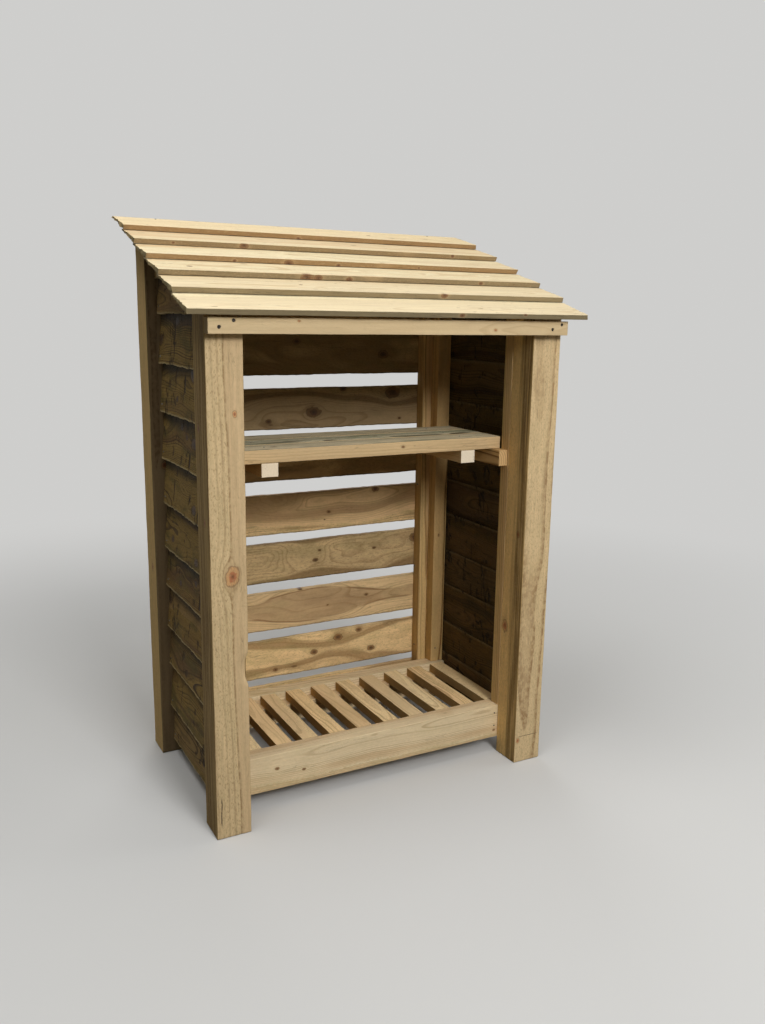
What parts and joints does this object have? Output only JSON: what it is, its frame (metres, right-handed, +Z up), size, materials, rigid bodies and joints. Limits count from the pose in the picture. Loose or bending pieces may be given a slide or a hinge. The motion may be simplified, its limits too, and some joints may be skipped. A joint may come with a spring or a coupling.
{
  "type": "log store",
  "caption": "Free-standing lean-to wooden log store with square posts, lapped side boards, gapped back boards, slatted floor, one shelf and a sloped lapped board roof.",
  "frame": {"origin": "on the ground, under the middle of the roof", "axes": "+X along the front to the right as seen from the front, +Y from the open front to the back, +Z up"},
  "size_m": [1.21, 0.751, 1.6866],
  "materials": {
    "post_timber": "sawn pressure-treated softwood, light tan with a green cast",
    "roof_boards": "rough sawn tapered boards, pale cream tops",
    "side_boards": "rough sawn tapered boards, weathered",
    "back_boards": "rough sawn boards with knots",
    "floor_timber": "sawn softwood",
    "shelf_boards": "sawn softwood, grey green on top",
    "frame_battens": "sawn softwood battens"
  },
  "bodies": {
    "root": {"back_batten_left": "frame_battens", "back_batten_right": "frame_battens", "back_board_1": "back_boards", "back_board_10": "back_boards", "back_board_2": "back_boards", "back_board_3": "back_boards", "back_board_4": "back_boards", "back_board_5": "back_boards", "back_board_6": "back_boards", "back_board_7": "back_boards", "back_board_8": "back_boards", "back_board_9": "back_boards", "floor_front_ledger": "floor_timber", "floor_front_rail": "floor_timber", "floor_rear_ledger": "floor_timber", "floor_rear_rail": "floor_timber", "floor_slats": "floor_timber", "front_header": "post_timber", "front_post_left": "post_timber", "front_post_right": "post_timber", "front_upright_left": "frame_battens", "front_upright_right": "frame_battens", "rear_post_left": "post_timber", "rear_post_right": "post_timber", "rear_upright_left": "frame_battens", "rear_upright_right": "frame_battens", "roof_bearer_left": "frame_battens", "roof_bearer_right": "frame_battens", "roof_board_1": "roof_boards", "roof_board_2": "roof_boards", "roof_board_3": "roof_boards", "roof_board_4": "roof_boards", "roof_board_5": "roof_boards", "roof_board_6": "roof_boards", "shelf_batten_left": "frame_battens", "shelf_batten_right": "frame_battens", "shelf_board_1": "shelf_boards", "shelf_board_2": "shelf_boards", "shelf_board_3": "shelf_boards", "shelf_support_left": "frame_battens", "shelf_support_right": "frame_battens", "side_cladding_left": "side_boards", "side_cladding_right": "side_boards"}
  },
  "joints": []
}
